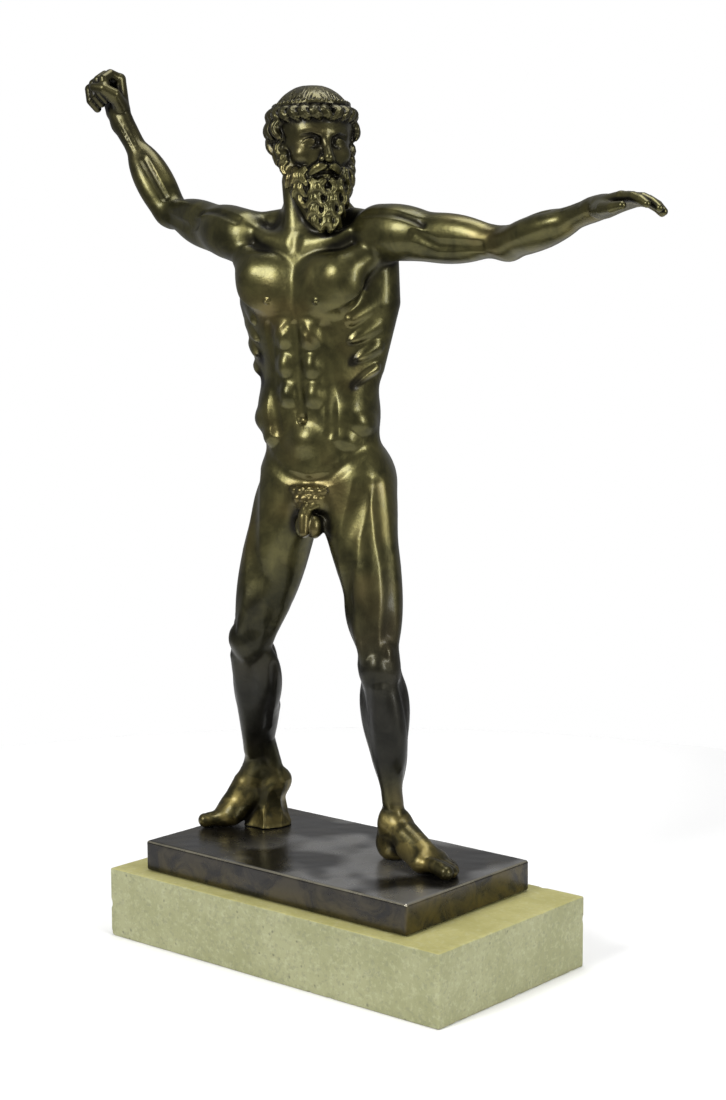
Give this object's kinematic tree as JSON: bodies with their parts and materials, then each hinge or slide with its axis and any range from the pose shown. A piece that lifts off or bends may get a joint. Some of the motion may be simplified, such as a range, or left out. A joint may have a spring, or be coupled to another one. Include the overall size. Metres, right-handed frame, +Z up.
{
  "type": "sea god statue",
  "caption": "Dark patinated bronze of a nude, bearded sea god in a wide stride, one fist raised to throw and the other arm held out, on a bronze plate and a pale stone plinth.",
  "frame": {"origin": "middle of the stone plinth's underside, which is the surface the statue stands on", "axes": "+Z up; the plinth's long side and the stride run along X, with the leading foot and the held-out arm toward +X; the chest faces -Y"},
  "size_m": [0.3065, 0.1014, 0.3918],
  "materials": {
    "figure_bronze": "cast bronze, dark brown patina rubbed to olive gold on the high places, waxed",
    "plate_bronze": "cast bronze slab, near-black brown patina, waxed, rubbed along the top edges",
    "plinth_stone": "cream limestone marble, honed, with small pits and faint veins"
  },
  "bodies": {
    "root": {"figure": "figure_bronze", "base_plate": "plate_bronze", "stone_plinth": "plinth_stone"}
  },
  "joints": []
}
